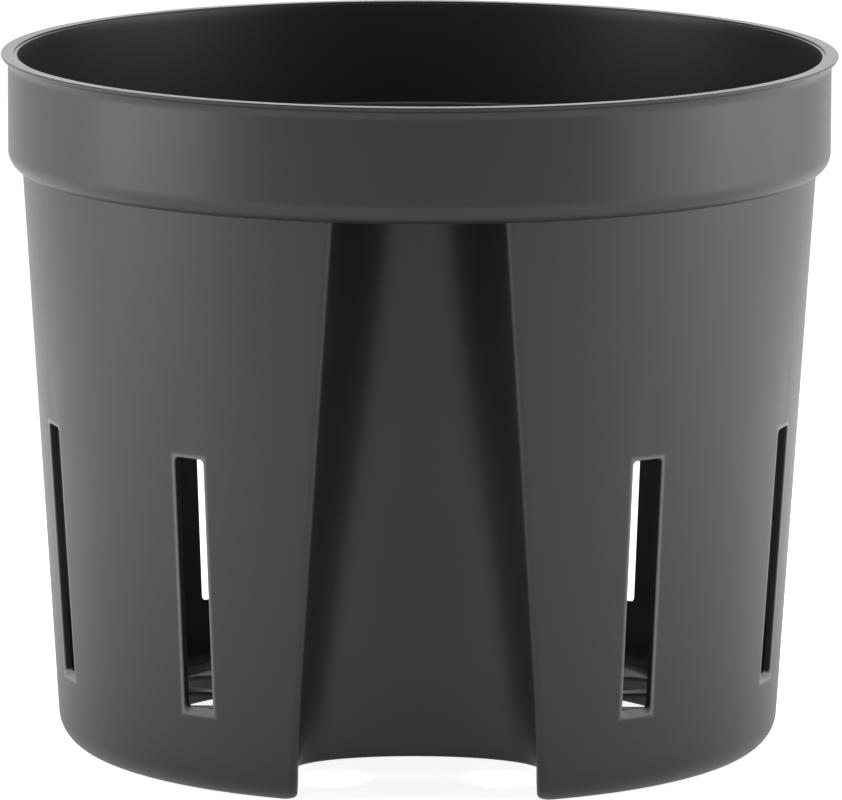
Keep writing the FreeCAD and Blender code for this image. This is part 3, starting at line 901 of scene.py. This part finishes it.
class POT_OT_material(bpy.types.Operator):
    """Make the satin plastic of the pot"""
    bl_idname = "pot.material"
    bl_label = "Plastic"

    def execute(self, context):
        make_plastic(context.scene.pot_finish)
        return {"FINISHED"}


class POT_OT_rings(bpy.types.Operator):
    """Turn the lip and the collar round the axis"""
    bl_idname = "pot.rings"
    bl_label = "Lip and Collar"

    segments: count("Segments", "Flat steps round a ring", 720)

    def execute(self, context):
        pot = sizes_now()
        finish_piece(turned_ring("rim_lip_piece", lip_profile(pot), self.segments), ["rim_lip"])
        finish_piece(turned_ring("collar_piece", collar_profile(pot), self.segments), ["collar"])
        return {"FINISHED"}


class POT_OT_walls(bpy.types.Operator):
    """Wrap the upper and lower walls and the slot bars round the pot"""
    bl_idname = "pot.walls"
    bl_label = "Walls and Slot Bars"

    def execute(self, context):
        pot = sizes_now()
        tree = wrap_tree(pot)
        high, low = pot.slot_top + pot.sizes.slot_ground, pot.slot_bottom - pot.sizes.slot_ground
        for side_name, side in SIDES:
            panels = {
                f"upper_wall_{side_name}": wall_panel(pot, side, BARS_TOP, pot.slot_top, high,
                                                      upper_rows(pot, high)),
                f"lower_wall_{side_name}": wall_panel(pot, side, BARS_BOTTOM, pot.slot_bottom, low,
                                                      steps(low, FLOOR_UNDER, LOW_ROWS))}
            for number in range(pot.sizes.slots_per_side + 1):
                panels[f"slot_bar_{side_name}_{number + 1}"] = bar_panel(pot, side, number)
            for name, mesh in panels.items():
                finish_piece(tree.piece(f"{name}_piece", mesh), [name])
        return {"FINISHED"}


class POT_OT_recesses(bpy.types.Operator):
    """Loft the two recesses with their level ceilings"""
    bl_idname = "pot.recesses"
    bl_label = "Recesses"

    def execute(self, context):
        pot = sizes_now()
        for name, facing in (("front_recess", -1), ("rear_recess", 1)):
            mesh = joined(f"{name}_piece", [recess_wall(pot, facing), recess_ceiling(pot, facing)])
            finish_piece(new_object(f"{name}_piece", mesh), [name])
        return {"FINISHED"}


class POT_OT_base(bpy.types.Operator):
    """Loft the two feet with their gutters and fill the drained floor"""
    bl_idname = "pot.base"
    bl_label = "Feet and Floor"

    def execute(self, context):
        pot = sizes_now()
        for side_name, side in SIDES:
            name = f"foot_{side_name}"
            finish_piece(new_object(f"{name}_piece", foot_mesh(pot, f"{name}_piece", side)), [name])
        finish_piece(drained_floor(pot), ["floor_plate"])
        return {"FINISHED"}


def grain_group():
    """Shader group with the moulded plastic's clouds, roughness, fine grain height, and the pale colour of
    the painted highlight mixed in on the slot edges.
    """
    group = bpy.data.node_groups.new("Moulded Grain", "ShaderNodeTree")
    for way, kind, labels in (
            ("INPUT", "Float", ("Cloud Scale", "Grain Scale", "Wear", "Roughness", "Roughness Change")),
            ("INPUT", "Color", ("Colour", "Pale Colour", "Worn Colour")),
            ("OUTPUT", "Float", ("Roughness", "Height")), ("OUTPUT", "Color", ("Colour",))):
        for label in labels:
            group.interface.new_socket(label, in_out=way, socket_type=f"NodeSocket{kind}")
    given = group.nodes.new("NodeGroupInput").outputs
    place = group.nodes.new("ShaderNodeTexCoord").outputs["Object"]
    clouds, fine = (add_node(group, "ShaderNodeTexNoise", {
        "Vector": place, "Scale": given[scale], "Detail": detail}).outputs["Fac"]
        for scale, detail in (("Cloud Scale", CLOUD_DETAIL), ("Grain Scale", GRAIN_DETAIL)))
    blend = add_node(group, "ShaderNodeMix", {
        "Factor": clouds, "A": given["Colour"], "B": given["Pale Colour"]}, data_type="RGBA")
    # Mixes in the pale colour of the painted highlight on the slot edges.
    highlighted = add_node(group, "ShaderNodeMix", {
        "Factor": given["Wear"], "A": blend.outputs["Result"], "B": given["Worn Colour"]}, data_type="RGBA")
    change = add_node(group, "ShaderNodeMath", {
        0: clouds, 1: given["Roughness Change"], 2: given["Roughness"]}, operation="MULTIPLY_ADD")
    add_node(group, "NodeGroupOutput", {
        "Colour": highlighted.outputs["Result"], "Roughness": change.outputs[0], "Height": fine})
    return group


def make_plastic(finish):
    """Satin dark grey plastic with faint clouds, a fine moulded grain, and a painted highlight on the slot
    edges.
    """
    material = bpy.data.materials.new(PLASTIC)
    material.use_nodes = True
    tree = material.node_tree
    # Mask of the painted highlight round the slots, stored by the wall tree.
    painted_highlight = add_node(tree, "ShaderNodeAttribute", {}, attribute_name="painted_highlight")
    grain = add_node(tree, "ShaderNodeGroup", {
        "Cloud Scale": CLOUD_SCALE, "Grain Scale": GRAIN_SCALE, "Colour": (*finish.tint, 1),
        "Pale Colour": (*finish.tint_pale, 1), "Worn Colour": (*finish.tint_highlight, 1),
        "Wear": painted_highlight.outputs["Fac"], "Roughness": finish.roughness,
        "Roughness Change": finish.rough_change}, node_tree=grain_group())
    bump = add_node(tree, "ShaderNodeBump", {
        "Strength": finish.grain, "Distance": GRAIN_DEPTH, "Height": grain.outputs["Height"]})
    for label, item in (("Normal", bump.outputs["Normal"]), ("Base Color", grain.outputs["Colour"]),
                        ("Roughness", grain.outputs["Roughness"]), ("IOR", REFRACTION)):
        feed(tree, tree.nodes["Principled BSDF"].inputs[label], item)


class StageSettings(bpy.types.PropertyGroup):
    """Camera, lamps and ground."""
    distance: length("Distance", "Camera distance from its target", 1758.4)
    focus: bpy.props.FloatProperty(name="Lens", description="Focal length", default=417.33, unit="CAMERA")
    elevation: angle_of("Elevation", "Camera height above the level", 9.481)
    azimuth: angle_of("Azimuth", "Camera turn from the front", 0.0)
    roll: angle_of("Roll", "Camera tilt about its view", 0.19)
    target_height: length("Target Height", "Height that the camera looks at", 61.97)
    target_side: length("Target Side", "How far right of the axis the camera looks", 0.43)
    lamp_distance: length("Lamp Distance", "Distance of the side lamps from the axis", 550)
    front_azimuth: angle_of("Front Lamps", "Turn of the two front side lamps from the front", 75)
    back_azimuth: angle_of("Back Lamps", "Turn of the two back side lamps from the front", 100)
    lamp_lift: length("Lamp Lift", "Height of the side lamps' lower edge over the ground", 40)
    right_front: power("Right Front Lamp", "Power of the front lamp on the right", 1.30)
    right_back: power("Right Back Lamp", "Power of the back lamp on the right", 1.15)
    left_front: power("Left Front Lamp", "Power of the front lamp on the left", 1.92)
    left_back: power("Left Back Lamp", "Power of the back lamp on the left", 0.35)
    top_height: length("Top Lamp Height", "Height of the lamp over the pot", 950)
    top_power: power("Top Lamp", "Power of the lamp over the pot", 2.8)
    ground: colour("Ground", "Colour of the ground", (0.82, 0.82, 0.82))


class POT_OT_stage(bpy.types.Operator):
    """Set the ground, lamps, surroundings and camera"""
    bl_idname = "pot.stage"
    bl_label = "Stage"

    def execute(self, context):
        settings = context.scene.pot_stage
        make_ground(settings)
        make_surroundings(context.scene)
        height = SIDE_LAMP[1] / 2 + settings.lamp_lift
        for side_name, side in SIDES:
            for place in ("front", "back"):
                azimuth = side * getattr(settings, f"{place}_azimuth")
                make_lamp(f"lamp_{side_name}_{place}", at(settings.lamp_distance, azimuth, height),
                          Vector((0, 0, height)), SIDE_LAMP, getattr(settings, f"{side_name}_{place}"))
        make_lamp("lamp_top", Vector((0, 0, settings.top_height)), Vector(), TOP_LAMP, settings.top_power)
        make_camera(context.scene, settings)
        context.scene.view_settings.view_transform = "Standard"
        return {"FINISHED"}


def ramp(tree, item, numbers, kind="LINEAR"):
    """Output of a node that maps one range of values to another."""
    inputs = dict(zip(("From Min", "From Max", "To Min", "To Max"), numbers))
    inputs["Value"] = item
    return add_node(tree, "ShaderNodeMapRange", inputs, interpolation_type=kind).outputs["Result"]


def combined(tree, operation, first, second):
    """Output of a math node on two values."""
    return add_node(tree, "ShaderNodeMath", {0: first, 1: second}, operation=operation).outputs[0]


def make_ground(settings):
    """Wide pale ground that stays white to the camera and keeps the pot's shadow; in reflections it glows,
    dimmer near the pot as a painted shade.
    """
    mesh = bpy.data.meshes.new("ground")
    mesh.from_pydata([(x * GROUND_HALF, y * GROUND_HALF, GROUND_LEVEL)
                      for x, y in ((-1, -1), (1, -1), (1, 1), (-1, 1))], [], [(0, 1, 2, 3)])
    ground = new_object("ground", mesh)
    material = bpy.data.materials.new("ground")
    material.use_nodes = True
    tree = material.node_tree
    place = tree.nodes.new("ShaderNodeTexCoord").outputs["Object"]
    away = add_node(tree, "ShaderNodeVectorMath", {0: place}, operation="LENGTH").outputs["Value"]
    rays = tree.nodes.new("ShaderNodeLightPath").outputs
    seen = combined(tree, "MULTIPLY", rays["Is Camera Ray"], GROUND_WHITE)
    # Glow that reflections see, dimmer near the pot: a painted shade.
    mirror_with_shade = combined(tree, "MULTIPLY", rays["Is Glossy Ray"], ramp(tree, away, MIRROR_SHADE_RAMP))
    through = combined(tree, "MULTIPLY", rays["Is Transmission Ray"], GROUND_WHITE)
    strongest = combined(tree, "MAXIMUM", combined(tree, "MAXIMUM", seen, mirror_with_shade), through)
    for label, item in (("Base Color", (*settings.ground, 1)), ("Roughness", 1.0),
                        ("Specular IOR Level", 0.0), ("Emission Color", (1, 1, 1, 1)),
                        ("Emission Strength", strongest)):
        feed(tree, tree.nodes["Principled BSDF"].inputs[label], item)
    material.cycles.emission_sampling = "NONE"
    mesh.materials.append(material)


def make_surroundings(scene):
    """White behind the pot for the camera; dim in front and bright behind for the light on it."""
    world = bpy.data.worlds.new("surroundings")
    scene.world = world
    world.use_nodes = True
    world.cycles.sampling_method = "NONE"
    tree = world.node_tree
    split = add_node(tree, "ShaderNodeSeparateXYZ", {
        0: tree.nodes.new("ShaderNodeTexCoord").outputs["Generated"]})
    along, up = (ramp(tree, split.outputs[axis], numbers, "SMOOTHSTEP")
                 for axis, numbers in (("Y", SKY_ALONG), ("Z", SKY_UP)))
    pick = add_node(tree, "ShaderNodeMix", {
        "Factor": tree.nodes.new("ShaderNodeLightPath").outputs["Is Camera Ray"],
        "A": combined(tree, "MULTIPLY", along, up), "B": 1.0})
    for label, item in (("Strength", pick.outputs["Result"]), ("Color", (1, 1, 1, 1))):
        feed(tree, tree.nodes["Background"].inputs[label], item)


def make_lamp(name, spot, aim, size, watts):
    """Soft rectangular lamp, seen only in what it lights."""
    lamp = bpy.data.lights.new(name, "AREA")
    lamp.shape = "RECTANGLE"
    lamp.size, lamp.size_y = size
    lamp.energy = watts
    item = bpy.data.objects.new(name, lamp)
    bpy.context.scene.collection.objects.link(item)
    turn = (aim - spot).to_track_quat("-Z", "Y").to_matrix().to_4x4()
    item.matrix_world = Matrix.Translation(spot) @ turn
    item.visible_camera = False


def make_camera(scene, settings):
    """Camera at the photographed angle, with a long lens."""
    data = bpy.data.cameras.new("camera")
    data.sensor_fit = "HORIZONTAL"
    data.sensor_width = SENSOR_WIDTH
    data.lens = settings.focus
    data.clip_end = FAR_CLIP
    camera = bpy.data.objects.new("camera", data)
    scene.collection.objects.link(camera)
    level = math.cos(settings.elevation)
    back = Vector((math.sin(settings.azimuth) * level, -math.cos(settings.azimuth) * level,
                   math.sin(settings.elevation)))
    target = Vector((settings.target_side, 0, settings.target_height))
    turn = (-back).to_track_quat("-Z", "Y").to_matrix().to_4x4() @ Matrix.Rotation(settings.roll, 4, "Z")
    camera.matrix_world = Matrix.Translation(target + back * settings.distance) @ turn
    scene.camera = camera


class POT_PT_panel(bpy.types.Panel):
    """Sidebar panel that lists the pot's pieces"""
    bl_idname = "POT_PT_panel"
    bl_label = "Orchid Pot"
    bl_space_type = "VIEW_3D"
    bl_region_type = "UI"
    bl_category = "Orchid Pot"

    def draw(self, context):
        for operator in OPERATORS:
            self.layout.operator(operator.bl_idname)


OPERATORS = (POT_OT_material, POT_OT_rings, POT_OT_walls, POT_OT_recesses, POT_OT_base, POT_OT_stage)
CLASSES = (PotSizes, PotFinish, StageSettings) + OPERATORS + (POT_PT_panel,)


def register():
    """Register the classes and hang the settings on the scene."""
    for item in CLASSES:
        bpy.utils.register_class(item)
    bpy.types.Scene.pot_sizes = bpy.props.PointerProperty(type=PotSizes)
    bpy.types.Scene.pot_finish = bpy.props.PointerProperty(type=PotFinish)
    bpy.types.Scene.pot_stage = bpy.props.PointerProperty(type=StageSettings)


def unregister():
    """Take the settings and the classes away again."""
    for name in ("pot_sizes", "pot_finish", "pot_stage"):
        delattr(bpy.types.Scene, name)
    for item in reversed(CLASSES):
        bpy.utils.unregister_class(item)


def main():
    """Build every piece."""
    register()
    bpy.ops.pot.material()
    bpy.ops.pot.rings()
    bpy.ops.pot.walls()
    bpy.ops.pot.recesses()
    bpy.ops.pot.base()
    bpy.ops.pot.stage()


if __name__ == "__main__":
    main()
